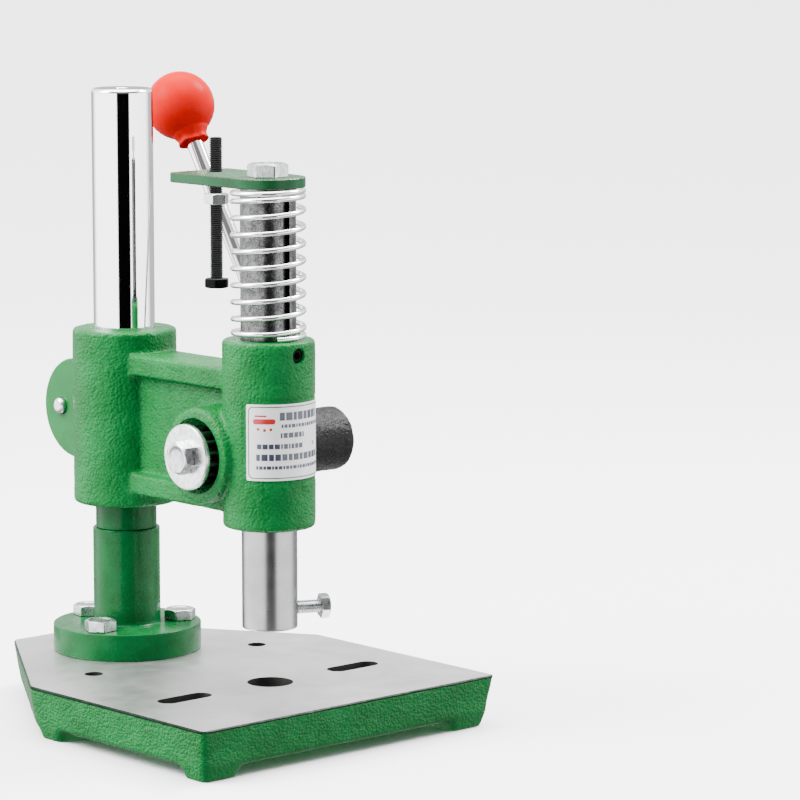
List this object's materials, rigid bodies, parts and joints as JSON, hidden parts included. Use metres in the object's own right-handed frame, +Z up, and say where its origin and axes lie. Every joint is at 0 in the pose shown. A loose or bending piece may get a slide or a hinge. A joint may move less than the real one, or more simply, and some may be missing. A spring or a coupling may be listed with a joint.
{
  "type": "snap setting press",
  "caption": "Hand arbor press for setting snaps: a lever turns a pinion that drives a sprung ram down over a drilled base, under an arm clamped on a round column.",
  "frame": {"origin": "on the surface the press stands on, below the middle of its footprint", "axes": "+Z up; -Y towards the operator; +X towards the operator's right, where the lever is"},
  "size_m": [0.22, 0.27, 0.3733],
  "materials": {
    "green_cast": "gloss enamel over a rough casting",
    "green_paint": "gloss enamel, smooth",
    "chrome": "polished",
    "ground_steel": "ground, lightly oiled",
    "zinc": "bright zinc plate",
    "black_oxide": "black oxide",
    "black_iron": "rough as cast, black",
    "red_plastic": "semi gloss",
    "label_film": "printed film"
  },
  "bodies": {
    "base": {"base_plate": "green_cast", "column_flange": "green_paint", "flange_bolt_1": "zinc", "flange_bolt_2": "zinc", "flange_bolt_3": "zinc", "socket_set_screw": "black_oxide"},
    "column": {"column": "chrome"},
    "arm": {"arm_casting": "green_cast", "clamp_washer": "zinc", "spec_label": "label_film", "ram_guide_screw": "black_oxide", "return_spring": "zinc"},
    "clamp_screw": {"clamp_bolt": "zinc"},
    "lever": {"pinion_shaft": "ground_steel", "pinion_washer": "zinc", "pinion_bolt": "zinc", "lever_hub": "black_iron", "hub_pin": "zinc", "lever_rod": "chrome", "ball_knob": "red_plastic"},
    "ram": {"ram": "ground_steel", "stop_plate": "green_paint", "ram_top_bolt": "zinc"},
    "die_screw": {"ram_clamp_screw": "zinc"},
    "stop_screw": {"stop_bolt": "black_oxide", "stop_lock_nut": "zinc"}
  },
  "joints": [
    {"name": "arm_swivel", "type": "hinge", "parent": "base", "child": "column", "pos_m": [0, 0.071, 0.1], "axis": [0, 0, 1], "range_deg": [-180, 180]},
    {"name": "arm_height", "type": "slide", "parent": "column", "child": "arm", "axis": [0, 0, 1], "range_m": [0, 0.14]},
    {"name": "lever_turn", "type": "hinge", "parent": "arm", "child": "lever", "pos_m": [0.055, -0.0337, 0.162], "axis": [1, 0, 0], "range_deg": [0, 122]},
    {"name": "ram_slide", "type": "slide", "parent": "arm", "child": "ram", "axis": [0, 0, -1], "range_m": [0, 0.032], "stiffness_N_per_m": 1800, "springref_m": -0.02, "deforming": ["return_spring"]},
    {"name": "stop_bolt_adjust", "type": "slide", "parent": "ram", "child": "stop_screw", "axis": [0, 0, 1], "range_m": [-0.01, 0.006]},
    {"name": "die_screw_travel", "type": "slide", "parent": "ram", "child": "die_screw", "axis": [-0.9063, 0.4226, 0], "range_m": [-0.004, 0.008]},
    {"name": "clamp_bolt_travel", "type": "slide", "parent": "arm", "child": "clamp_screw", "axis": [1, 0, 0], "range_m": [0, 0.006]}
  ],
  "couplings": [
    {"joint": "ram_slide", "follows": "lever_turn", "m_per_rad": 0.015}
  ]
}
